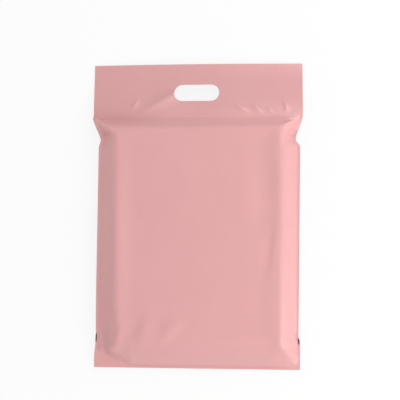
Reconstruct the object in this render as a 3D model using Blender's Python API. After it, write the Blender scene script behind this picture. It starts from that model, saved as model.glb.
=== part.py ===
"""A filled poly mailer bag with a carrying hole, lying on its back with its front up.

The bag is a flat tube of film. Its header, the strip with the hole, stays flat. Below the header the
films part round a slab-shaped load: each runs from the load's face down to a side seam halfway up the
load, so the filled body is narrower than the flat header. The film is first drawn flat, as a plan with
its fold lines in it, and the plan is then lifted twice, to the front film and to the back film.

X runs across the bag, Y up its length towards the header, and Z out of its front. The origin is under
the middle of the bag, on the surface that the bag lies on.
"""

import math
from dataclasses import dataclass

import bpy
from mathutils import Vector
from mathutils.geometry import delaunay_2d_cdt
from mathutils.kdtree import KDTree

# The bag laid flat, in metres. Heights along the bag are measured from its bottom edge.
BAG_WIDTH = 0.350
BAG_LENGTH = 0.510
HEADER_DEPTH = 0.088
FILMS_THICKNESS = 0.0010
FLAP_THICKNESS = 0.0005
FLAP_EDGE_ABOVE_FOOT = 0.008

# The load, and the film that stands free of it.
LOAD_THICKNESS = 0.046
SIDE_FILM = 0.042
SIDE_SEAL = 0.004
SHOULDER_RUN = 0.017
FOOT_RUN = 0.037
SEAL_DEPTH = 0.004
SIDE_EDGE_BLEND = 0.007
SHOULDER_EDGE_BLEND = 0.006
FOOT_EDGE_BLEND = 0.030
MITRE_BLEND = 0.010
CORNER_EDGE_BLEND = 0.010
CORNER_WIDTH = 0.034
FACE_DISH = 0.0016
DISH_RUN = 0.030

# How high the two films lie where they meet: at the side seams, at the bottom seal and at the top. The
# header's foot arches up and sags back towards the middle of the bag.
SEAM_HEIGHT = 0.023
SEAL_HEIGHT = 0.012
SEAL_DROOP_RUN = 0.045
HEADER_ARCH = 0.005
HEADER_SAG = 0.003
TOP_EDGE_CLEARANCE = 0.0004

# Below the header's foot the meeting films come to the side seams' height along a diagonal, which falls
# by this much for each metre inwards from the bag's edge.
NECK_RAMP = 0.0035
NECK_RAMP_FALL = 0.78

# The pinch below the header, where the flat tube turns into the filled body.
PINCH_BELOW_HEADER = 0.039
PINCH_RECOVERY = 0.014
PINCH_ROUNDING = 1.3
PINCH_FULLNESS = 1.5

# How far up the side seams turn out towards the flat, empty corners at the bottom, the ears.
EAR_TOP = 0.058

# How a crisp fold's flank eases out, where 1 is a straight flank, and how much of its width is left at
# its ends.
FLANK_CURVE = 1.5
FOLD_END_WIDTH = 0.4

# The carrying hole.
HOLE_WIDTH = 0.075
HOLE_HEIGHT = 0.028
HOLE_CORNER = 0.0135
HOLE_BELOW_TOP = 0.0355
HOLE_CORNER_STEPS = 6

# How closely the plan is drawn.
FOOT_ZONE_TOP = 0.100
FOOT_PITCH = 0.0060
EAR_PITCH = 0.0045
BODY_PITCH = 0.013
NECK_PITCH = 0.0035
HEADER_PITCH = 0.008
FACE_PITCH = 0.020
FOLD_STEPS = 8
LEAST_GAP = 0.0022
MERGE_GAP = 1e-6

# Where the plan has lines between a rise and its foot, as shares of the way from one to the other.
FLANK_LINES = (0.0, 0.45, 1.0)
SLOPE_MARKS = (0.3, 0.6)
EDGE_MARKS = (-1.0, -0.4, 0.3, 1.0)

FILM_COLOUR = (0.760, 0.371, 0.371, 1.0)
FILM_ROUGHNESS = 0.38


@dataclass(frozen=True)
class Side:
    """One side of the body, and how its edge departs from the reach that the load gives it.

    Its ear is the flat, empty corner at the bottom of the bag. The load's round corner leaves it free up
    to ear_height above the bottom seal on the side seam, and over ear_width along that seal. The slope
    from the ear up to the load's face is corner_run long.
    """

    sign: int
    neck_height: float
    shoulder_spread: float
    foot_spread: float
    pinch_depth: float
    ear_flare: float
    ear_step: float
    ear_height: float
    ear_width: float
    corner_run: float


LEFT = Side(
    sign=-1,
    neck_height=0.0175,
    shoulder_spread=-0.0026,
    foot_spread=0.0032,
    pinch_depth=0.0036,
    ear_flare=0.0077,
    ear_step=0.048,
    ear_height=0.027,
    ear_width=0.056,
    corner_run=0.012,
)
RIGHT = Side(
    sign=1,
    neck_height=0.0330,
    shoulder_spread=0.0035,
    foot_spread=0.0008,
    pinch_depth=0.0076,
    ear_flare=0.0034,
    ear_step=0.010,
    ear_height=0.004,
    ear_width=0.020,
    corner_run=0.045,
)


@dataclass(frozen=True)
class Fold:
    """A fold in the film: a straight spine whose flanks fall away on both sides and at both ends.

    Places are across the bag from its middle and up from its bottom edge. The widths are those of the
    flanks on the left and on the right of someone who walks from start to end. A fold with
    films="both" bends the header's films together, and one with films="front" the front film alone. A
    soft fold is a rounded swell or hollow with no crease along its spine.
    """

    start: tuple
    end: tuple
    rise: float
    left: float
    right: float
    films: str = "front"
    soft: bool = False


HALF_WIDTH = BAG_WIDTH / 2
HEADER_FOOT = BAG_LENGTH - HEADER_DEPTH
FLAP_EDGE = HEADER_FOOT + FLAP_EDGE_ABOVE_FOOT
FACE_HALF_WIDTH = HALF_WIDTH - SIDE_FILM
SIDE_RUN = SIDE_SEAL + math.sqrt((SIDE_FILM - SIDE_SEAL) ** 2 - SEAM_HEIGHT**2)
BODY_REACH = FACE_HALF_WIDTH + SIDE_RUN
PINCH_Y = HEADER_FOOT - PINCH_BELOW_HEADER
HOLE_MIDDLE = BAG_LENGTH - HOLE_BELOW_TOP - HOLE_HEIGHT / 2
HOLE_END = HOLE_WIDTH / 2
TOP_EDGE_HEIGHT = TOP_EDGE_CLEARANCE + FLAP_THICKNESS + FILMS_THICKNESS / 2
SHOULDER = HEADER_FOOT - SHOULDER_RUN

# The long fold that pulls from the hole's left end down to the shoulder, and a short one beside it.
HOLE_FOLDS = (
    Fold(
        start=(-HOLE_END - 0.004, HOLE_MIDDLE - 0.007),
        end=(-HOLE_END - 0.0595, HEADER_FOOT + 0.003),
        rise=0.0042,
        left=0.030,
        right=0.014,
        films="both",
    ),
    Fold(
        start=(-HOLE_END - 0.0575, HEADER_FOOT + 0.030),
        end=(-HOLE_END - 0.0725, HEADER_FOOT + 0.009),
        rise=0.0018,
        left=0.006,
        right=0.007,
        films="both",
    ),
)

# The puckers above the shoulder's right half, where the header's slack gathers.
PUCKERS = (
    Fold(
        start=(HALF_WIDTH - 0.115, HEADER_FOOT + 0.023),
        end=(HALF_WIDTH - 0.085, HEADER_FOOT + 0.003),
        rise=0.0022,
        left=0.004,
        right=0.008,
        films="both",
    ),
    Fold(
        start=(HALF_WIDTH - 0.085, HEADER_FOOT + 0.021),
        end=(HALF_WIDTH - 0.064, HEADER_FOOT + 0.002),
        rise=0.0020,
        left=0.004,
        right=0.007,
        films="both",
    ),
    Fold(
        start=(HALF_WIDTH - 0.058, HEADER_FOOT + 0.014),
        end=(HALF_WIDTH - 0.048, HEADER_FOOT + 0.003),
        rise=0.0013,
        left=0.003,
        right=0.005,
        films="both",
    ),
    Fold(
        start=(HALF_WIDTH - 0.030, HEADER_FOOT + 0.027),
        end=(HALF_WIDTH - 0.025, HEADER_FOOT + 0.003),
        rise=0.0018,
        left=0.009,
        right=0.004,
        films="both",
    ),
)

# The creases that fan out of the neck's right corner, and one in its left corner.
NECK_FOLDS = (
    Fold(
        start=(FACE_HALF_WIDTH + 0.008, SHOULDER - 0.001),
        end=(HALF_WIDTH - 0.010, HEADER_FOOT - 0.008),
        rise=0.0030,
        left=0.004,
        right=0.006,
    ),
    Fold(
        start=(HALF_WIDTH - 0.015, HEADER_FOOT - 0.010),
        end=(HALF_WIDTH - 0.003, HEADER_FOOT - 0.001),
        rise=0.0016,
        left=0.003,
        right=0.004,
    ),
    Fold(
        start=(HALF_WIDTH - 0.027, HEADER_FOOT - 0.003),
        end=(HALF_WIDTH - 0.018, HEADER_FOOT - 0.008),
        rise=0.0012,
        left=0.002,
        right=0.003,
    ),
    Fold(
        start=(-HALF_WIDTH + 0.003, HEADER_FOOT - 0.003),
        end=(-HALF_WIDTH + 0.026, SHOULDER - 0.003),
        rise=0.0016,
        left=0.006,
        right=0.012,
    ),
)

# The slack of the front film above the bottom seal and beside the load's right edge.
FACE_FOLDS = (
    Fold(
        start=(-FACE_HALF_WIDTH + 0.042, 0.096),
        end=(-FACE_HALF_WIDTH + 0.016, 0.028),
        rise=0.0022,
        left=0.030,
        right=0.014,
        soft=True,
    ),
    Fold(
        start=(-FACE_HALF_WIDTH + 0.106, 0.088),
        end=(-FACE_HALF_WIDTH + 0.066, 0.038),
        rise=0.0014,
        left=0.014,
        right=0.024,
        soft=True,
    ),
    Fold(
        start=(FACE_HALF_WIDTH - 0.024, HEADER_FOOT - 0.002),
        end=(FACE_HALF_WIDTH - 0.020, 0.180),
        rise=-0.0026,
        left=0.026,
        right=0.040,
        soft=True,
    ),
    Fold(
        start=(FACE_HALF_WIDTH - 0.012, 0.262),
        end=(FACE_HALF_WIDTH - 0.026, 0.140),
        rise=-0.0014,
        left=0.010,
        right=0.016,
        soft=True,
    ),
)

FOLDS = HOLE_FOLDS + PUCKERS + NECK_FOLDS + FACE_FOLDS


def blend(start, end, share):
    """The value at this share of the way, with an easy start and an easy end."""
    share = min(max(share, 0.0), 1.0)
    return start + (end - start) * share * share * (3 - 2 * share)


def soft_least(first, second, width):
    """The lesser of two values, with the corner between them rounded over this width."""
    overlap = max(width - abs(first - second), 0.0)
    return min(first, second) - overlap * overlap / (4 * width)


def pinched_reach(side):
    """How far this side's edge is from the middle where the body is narrowest."""
    return BODY_REACH + side.shoulder_spread - side.pinch_depth


def neck_reach(side, y):
    """How far this side's edge is from the middle between the pinch and the header."""
    share = (y - PINCH_Y) / PINCH_BELOW_HEADER
    opening = 1 - (1 - share**PINCH_ROUNDING) ** PINCH_FULLNESS
    return pinched_reach(side) + (HALF_WIDTH - pinched_reach(side)) * opening


def reach(side, y):
    """How far this side's edge is from the middle at this height."""
    if y >= HEADER_FOOT:
        return HALF_WIDTH
    if y >= PINCH_Y:
        return neck_reach(side, y)
    body_top = PINCH_Y - PINCH_RECOVERY
    if y >= body_top:
        pinch = blend(0.0, side.pinch_depth, (y - body_top) / PINCH_RECOVERY)
        return BODY_REACH + side.shoulder_spread - pinch
    share = (y - EAR_TOP) / (body_top - EAR_TOP)
    body = BODY_REACH + side.foot_spread + (side.shoulder_spread - side.foot_spread) * max(share, 0.0)
    return blend(BODY_REACH + side.ear_flare, body, (y - EAR_TOP) / side.ear_step + 1)


def side_at(x):
    """The side that a point across the bag lies on."""
    return LEFT if x < 0 else RIGHT


def meeting_height(x, y):
    """How high the two films lie where they meet, at this place on the bag."""
    across = x / HALF_WIDTH
    neck = LEFT.neck_height + (RIGHT.neck_height - LEFT.neck_height) * (across + 1) / 2
    neck += HEADER_ARCH * (1 - across * across)
    if y >= HEADER_FOOT:
        share = (y - HEADER_FOOT) / HEADER_DEPTH
        straight = neck + (TOP_EDGE_HEIGHT - neck) * share
        return (straight + blend(neck, TOP_EDGE_HEIGHT, share)) / 2
    body = blend(SEAL_HEIGHT, SEAM_HEIGHT, y / SEAL_DROOP_RUN)
    ramp = NECK_RAMP + NECK_RAMP_FALL * (HALF_WIDTH - abs(x))
    return blend(neck, body, (HEADER_FOOT - y) / min(ramp, PINCH_BELOW_HEADER))


def header_crease(x):
    """How far up the films part above the shoulder, at this place across the bag."""
    return HEADER_FOOT - HEADER_SAG * (1 - (x / HALF_WIDTH) ** 4)


def ear_edge(side, x):
    """How far up the flat film of this side's ear and of the bottom seal reaches."""
    seam = BODY_REACH - SIDE_SEAL
    return SEAL_DEPTH + blend(0.0, side.ear_height, (x * side.sign - seam) / side.ear_width + 1)


def foot_share(x, y):
    """How far up the slope above the bottom seal a point lies, from 0 on the seal to 1 on the face."""
    side = side_at(x)
    cornered = blend(0.0, 1.0, (abs(x) - FACE_HALF_WIDTH) / CORNER_WIDTH + 0.5)
    run = FOOT_RUN + (side.corner_run - FOOT_RUN) * cornered
    rounding = FOOT_EDGE_BLEND + (CORNER_EDGE_BLEND - FOOT_EDGE_BLEND) * cornered
    return soft_least(1.0, (y - ear_edge(side, x)) / run, rounding / run)


def seam_reach(side, y):
    """How far from the middle this side's seam lies: it keeps clear of the neck's flat edge."""
    edge = min(reach(side, y), pinched_reach(side)) if y > PINCH_Y else reach(side, y)
    return edge - SIDE_SEAL


def fullness(x, y):
    """0 where the two films lie together and 1 where they lie on the load's faces."""
    seam = seam_reach(side_at(x), y)
    share = soft_least(1.0, (seam - abs(x)) / (seam - FACE_HALF_WIDTH), SIDE_EDGE_BLEND / SIDE_FILM)
    rise = (header_crease(x) - y) / SHOULDER_RUN
    share = soft_least(share, rise, SHOULDER_EDGE_BLEND / SHOULDER_RUN)
    mitre = MITRE_BLEND / FOOT_RUN
    share = soft_least(share, foot_share(x, y), mitre) / soft_least(1.0, 1.0, mitre)
    return max(share, 0.0)


def dish(x, y):
    """How far the front film sags between the load's proud edges."""
    inset = min(
        FACE_HALF_WIDTH - abs(x),
        HEADER_FOOT - SHOULDER_RUN - y,
        y - SEAL_DEPTH - FOOT_RUN,
    )
    return blend(0.0, FACE_DISH, inset / DISH_RUN)


def fold_frame(fold, x, y):
    """Where a point lies along a fold, from 0 to 1, and how far to the left of its spine."""
    start = Vector(fold.start)
    along = Vector(fold.end) - start
    offset = Vector((x, y)) - start
    share = offset.dot(along) / along.length_squared
    return share, along.cross(offset) / along.length


def fold_opening(share):
    """How open a fold is along its spine: nothing at its ends and all of it in its middle."""
    share = min(max(share, 0.0), 1.0)
    return 4 * share * (1 - share)


def fold_width(fold, flank, share):
    """How wide a flank of this fold is at this place along its spine."""
    if fold.soft:
        return flank
    return flank * (FOLD_END_WIDTH + (1 - FOLD_END_WIDTH) * fold_opening(share))


def fold_rise(fold, x, y):
    """How far this fold lifts a point."""
    share, left = fold_frame(fold, x, y)
    opening = fold_opening(share)
    down = abs(left) / fold_width(fold, fold.left if left > 0 else fold.right, share)
    if down >= 1:
        return 0.0
    if fold.soft:
        return fold.rise * opening * opening * blend(1.0, 0.0, down)
    return fold.rise * opening * (1 - down) ** FLANK_CURVE


def folded(x, y, films):
    """How far all the folds in these films lift a point."""
    return sum(fold_rise(fold, x, y) for fold in FOLDS if fold.films == films)


def front_height(x, y):
    """How high the front film's outer side lies."""
    rest = meeting_height(x, y) + FILMS_THICKNESS / 2
    crown = LOAD_THICKNESS - dish(x, y)
    return rest + (crown - rest) * fullness(x, y) + folded(x, y, "both") + folded(x, y, "front")


def back_height(x, y):
    """How high the back film's outer side lies, with the closing flap over it on the header."""
    rest = meeting_height(x, y) - FILMS_THICKNESS / 2
    flap = FLAP_THICKNESS if y > FLAP_EDGE else 0.0
    return rest * (1 - fullness(x, y)) + folded(x, y, "both") - flap


def stretch(low, high, pitch):
    """Evenly spaced values from low up to, but without, high."""
    count = max(round((high - low) / pitch), 1)
    return [low + (high - low) * step / count for step in range(count)]


def rows():
    """The heights up the bag at which the plan has a row of points."""
    neck_bottom = PINCH_Y - PINCH_RECOVERY
    return (
        [0.0]
        + stretch(SEAL_DEPTH, FOOT_ZONE_TOP, FOOT_PITCH)
        + stretch(FOOT_ZONE_TOP, neck_bottom, BODY_PITCH)
        + stretch(neck_bottom, HEADER_FOOT, NECK_PITCH)
        + stretch(HEADER_FOOT, FLAP_EDGE, FLAP_EDGE_ABOVE_FOOT / 2)
        + [FLAP_EDGE]
        + stretch(FLAP_EDGE + FLAP_THICKNESS, BAG_LENGTH, HEADER_PITCH)
        + [BAG_LENGTH]
    )


def row_across(y):
    """The places across the bag at which a row has a point, from its left edge to its right edge."""
    left, right = -reach(LEFT, y), reach(RIGHT, y)
    if y >= HEADER_FOOT or y <= SEAL_DEPTH:
        return stretch(left, right, HEADER_PITCH) + [right]
    pitch = FACE_PITCH if FOOT_ZONE_TOP <= y < PINCH_Y else HEADER_PITCH
    flat = FACE_HALF_WIDTH - DISH_RUN
    marks = stretch(-flat, flat, pitch) + [flat]
    for side in (LEFT, RIGHT):
        seam, edge = seam_reach(side, y), reach(side, y)
        slope = seam - FACE_HALF_WIDTH
        marks += [side.sign * place for place in stretch(seam, edge, HEADER_PITCH) + [edge]]
        marks += [side.sign * (seam - slope * share) for share in SLOPE_MARKS]
        marks += [side.sign * (FACE_HALF_WIDTH + SIDE_EDGE_BLEND * share / 2) for share in EDGE_MARKS]
        marks += [side.sign * (FACE_HALF_WIDTH - DISH_RUN / 2)]
    return sorted(marks)


def outline():
    """The bag's edge, anticlockwise from its bottom left corner."""
    up = rows()
    bottom, top = row_across(up[0]), row_across(up[-1])
    right = [(reach(RIGHT, y), y) for y in up[1:-1]]
    left = [(-reach(LEFT, y), y) for y in reversed(up[1:-1])]
    return [(x, 0.0) for x in bottom] + right + [(x, BAG_LENGTH) for x in reversed(top)] + left


def hole():
    """The carrying hole's edge: straight runs with quarter-circle corners."""
    points = []
    for corner in range(4):
        across = (1, -1, -1, 1)[corner] * (HOLE_END - HOLE_CORNER)
        up = (1, 1, -1, -1)[corner] * (HOLE_HEIGHT / 2 - HOLE_CORNER)
        for step in range(HOLE_CORNER_STEPS + 1):
            angle = (corner + step / HOLE_CORNER_STEPS) * math.pi / 2
            point = (across + HOLE_CORNER * math.cos(angle), up + HOLE_CORNER * math.sin(angle))
            points.append((point[0], HOLE_MIDDLE + point[1]))
    return points


def seam_lines():
    """The creases along the header's foot, the seals and the ears, each a run of points."""
    seams = [[(x, y) for x in row_across(y)] for y in (SEAL_DEPTH, HEADER_FOOT)]
    seams.append([(x, header_crease(x)) for x in row_across(HEADER_FOOT)[1:-1]])
    for side in (LEFT, RIGHT):
        body = [y for y in rows() if SEAL_DEPTH <= y < HEADER_FOOT]
        seams.append([(side.sign * seam_reach(side, y), y) for y in body])
        seam = seam_reach(side, SEAL_DEPTH + side.ear_height)
        ear = stretch(BODY_REACH - SIDE_SEAL - side.ear_width, seam, EAR_PITCH)
        seams.append([(side.sign * x, ear_edge(side, side.sign * x)) for x in ear])
    return seams


def inside(loop, x, y):
    """Whether a point lies inside a closed loop."""
    found = False
    for (x0, y0), (x1, y1) in zip(loop, loop[1:] + loop[:1]):
        if (y0 > y) != (y1 > y) and x < x0 + (x1 - x0) * (y - y0) / (y1 - y0):
            found = not found
    return found


def fold_lines(fold):
    """A crisp fold's spine and the lines along its flanks, each a run of points."""
    if fold.soft:
        return []
    start = Vector(fold.start)
    along = Vector(fold.end) - start
    across = Vector((-along.y, along.x)).normalized()
    shares = [step / FOLD_STEPS for step in range(FOLD_STEPS + 1)]
    flanks = [fold.left * part for part in reversed(FLANK_LINES)]
    flanks += [-fold.right * part for part in FLANK_LINES[1:]]
    return [[start + along * s + across * fold_width(fold, flank, s) for s in shares] for flank in flanks]


class Plan:
    """The film drawn flat: points, and the lines between them that the triangles keep."""

    def __init__(self):
        self.points = []
        self.lines = []

    def add_run(self, run, closed=False):
        """Adds a run of points joined one to the next."""
        first = len(self.points)
        self.points += [tuple(point) for point in run]
        last = len(self.points) - 1
        self.lines += [(index, index + 1) for index in range(first, last)]
        if closed:
            self.lines.append((last, first))

    def add_loose(self, points):
        """Adds points that lie clear of every point that is there already."""
        tree = KDTree(len(self.points))
        for index, (x, y) in enumerate(self.points):
            tree.insert((x, y, 0.0), index)
        tree.balance()
        self.points += [(x, y) for x, y in points if tree.find((x, y, 0.0))[2] > LEAST_GAP]

    def triangles(self, edge, opening):
        """The plan's points and its triangles inside the edge and outside the opening."""
        flat = [Vector(point) for point in self.points]
        made, _, faces, *_ = delaunay_2d_cdt(flat, self.lines, [], 0, MERGE_GAP, False)
        kept = []
        for face in faces:
            x = sum(made[index].x for index in face) / 3
            y = sum(made[index].y for index in face) / 3
            if inside(edge, x, y) and not inside(opening, x, y):
                kept.append(tuple(face))
        return made, kept


def rim_of(triangles):
    """The edges that only one triangle has, each in that triangle's own direction."""
    edges = {(face[turn], face[turn - 2]) for face in triangles for turn in range(3)}
    return [edge for edge in edges if (edge[1], edge[0]) not in edges]


def bag_mesh():
    """The two films as one closed mesh, joined along the bag's edge and round its hole."""
    edge, opening = outline(), hole()
    plan = Plan()
    plan.add_run(edge, closed=True)
    plan.add_run(opening, closed=True)
    for line in seam_lines():
        plan.add_run(line)
    for fold in FOLDS:
        for line in fold_lines(fold):
            plan.add_run(line)
    body = [(x, y) for y in rows()[1:-1] for x in row_across(y)[1:-1]]
    plan.add_loose([point for point in body if not inside(opening, *point)])
    flat, triangles = plan.triangles(edge, opening)

    middle = BAG_LENGTH / 2
    front = [(p.x, p.y - middle, front_height(p.x, p.y)) for p in flat]
    back = [(p.x, p.y - middle, back_height(p.x, p.y)) for p in flat]
    under = len(flat)
    faces = list(triangles)
    faces += [(c + under, b + under, a + under) for a, b, c in triangles]
    faces += [(b, a, a + under, b + under) for a, b in sorted(rim_of(triangles))]
    mesh = bpy.data.meshes.new("mailer_bag")
    mesh.from_pydata(front + back, [], faces)
    mesh.validate()
    return mesh


def film_material():
    """Pale pink polyethylene film, satin on its outer side."""
    material = bpy.data.materials.new("pink_film")
    material.use_nodes = True
    shader = material.node_tree.nodes["Principled BSDF"]
    shader.inputs["Base Color"].default_value = FILM_COLOUR
    shader.inputs["Roughness"].default_value = FILM_ROUGHNESS
    shader.inputs["Metallic"].default_value = 0.0
    return material


def main():
    """Clears the scene and models the bag."""
    for item in list(bpy.data.objects):
        bpy.data.objects.remove(item)
    mesh = bag_mesh()
    mesh.materials.append(film_material())
    mesh.shade_smooth()
    mesh.set_sharp_from_angle(angle=math.radians(35))
    bag = bpy.data.objects.new("mailer_bag", mesh)
    bpy.context.scene.collection.objects.link(bag)


main()
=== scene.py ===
"""The looks of a filled poly mailer bag that lies on its back, seen from straight above.

The bag is one soft shell of welded film. It is drawn flat as a fine plan, lifted to its front and back
sides and given the slack of loose film. The welds along its sides are beads that follow its edge, and
dark inner film shows where the side seams gape above the bottom corners.
"""

import logging
import math
from dataclasses import dataclass
from enum import Enum

import bpy
import numpy as np
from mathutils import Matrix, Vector
from mathutils.geometry import delaunay_2d_cdt
from mathutils.kdtree import KDTree


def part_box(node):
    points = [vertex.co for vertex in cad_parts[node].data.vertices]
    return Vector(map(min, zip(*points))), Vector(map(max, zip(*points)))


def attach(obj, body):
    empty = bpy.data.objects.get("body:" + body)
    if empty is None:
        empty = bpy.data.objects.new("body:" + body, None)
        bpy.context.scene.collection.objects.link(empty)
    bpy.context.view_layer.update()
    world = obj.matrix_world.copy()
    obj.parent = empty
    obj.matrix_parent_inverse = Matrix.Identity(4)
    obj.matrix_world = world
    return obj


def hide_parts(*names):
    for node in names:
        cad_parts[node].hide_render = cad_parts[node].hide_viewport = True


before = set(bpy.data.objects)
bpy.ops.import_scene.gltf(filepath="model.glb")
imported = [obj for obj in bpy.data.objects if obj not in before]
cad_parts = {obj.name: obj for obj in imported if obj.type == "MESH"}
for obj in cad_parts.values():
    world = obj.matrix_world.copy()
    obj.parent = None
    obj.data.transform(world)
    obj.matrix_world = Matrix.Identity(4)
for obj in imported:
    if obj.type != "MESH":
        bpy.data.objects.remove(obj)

log = logging.getLogger("mailer_bag")

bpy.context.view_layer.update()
NODE = "mailer_bag"
BODY = "root"
MM = 0.001
WHITE = (1.0, 1.0, 1.0, 1.0)


class Films(Enum):
    """Which films a fold bends."""

    FRONT = "front"
    BOTH = "both"


@dataclass(frozen=True)
class Side:
    """One side of the bag, and how it departs from the form that the load gives both sides.

    The films meet at neck_height beside the neck. The edge lies further out by shoulder_spread at the
    shoulder and by foot_spread at the foot, and pulls in by pinch_depth at the pinch. The ear is the
    flat, empty corner at the bottom of the bag. Its edge is ear_flare further out, and comes back within
    ear_step. The load's round corner leaves it free up to ear_height at the side seam and over ear_width
    along the bottom seal, with a slope corner_run long, and ear_softness rounds that slope's foot. Beside
    the shoulder the side slope's foot moves out by corner_seam_reach and its top by corner_reach. Its top
    also lies face_spread further out all the way up, and foot_inset further in near the bottom.
    """

    sign: int
    neck_height: float
    shoulder_spread: float
    foot_spread: float
    pinch_depth: float
    ear_flare: float
    ear_step: float
    ear_height: float
    ear_width: float
    corner_run: float
    ear_softness: float
    corner_reach: float
    corner_seam_reach: float
    foot_inset: float
    face_spread: float


@dataclass(frozen=True)
class Fold:
    """A crease in the film: a spine whose flanks fall away and close up at both ends.

    Places are across the bag from its middle and up from its bottom edge. The widths are those of the
    flanks on the left and on the right of someone who walks from start to end. A soft fold is a
    rounded swell or hollow with no crease along its spine. A crisp fold's flanks are straight at an ease
    of 1 and the more hollow the higher it is. A fold is most open at the peak, a share of its length.
    """

    start: tuple[float, float]
    end: tuple[float, float]
    rise: float
    left: float
    right: float
    films: Films = Films.FRONT
    soft: bool = False
    ease: float = 2.2
    peak: float = 0.5


def blend(start: float, end: float, share: np.ndarray) -> np.ndarray:
    """The value at each share of the way, with an easy start and an easy end.

    Args:
        start: The value at share 0.
        end: The value at share 1.
        share: How far along each point is. Shares past either end keep that end's value.

    Returns:
        One value for each share.
    """
    share = np.clip(share, 0.0, 1.0)
    return start + (end - start) * share * share * (3 - 2 * share)


def soft_least(first: np.ndarray, second: np.ndarray, width: np.ndarray | float) -> np.ndarray:
    """The lesser of two values, with the corner between them rounded.

    Args:
        first: One value for each point.
        second: The other value for each point.
        width: How far apart the two may be and still be rounded together.

    Returns:
        The rounded lesser value for each point.
    """
    overlap = np.maximum(width - np.abs(first - second), 0.0)
    return np.minimum(first, second) - overlap * overlap / (4 * width)


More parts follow.
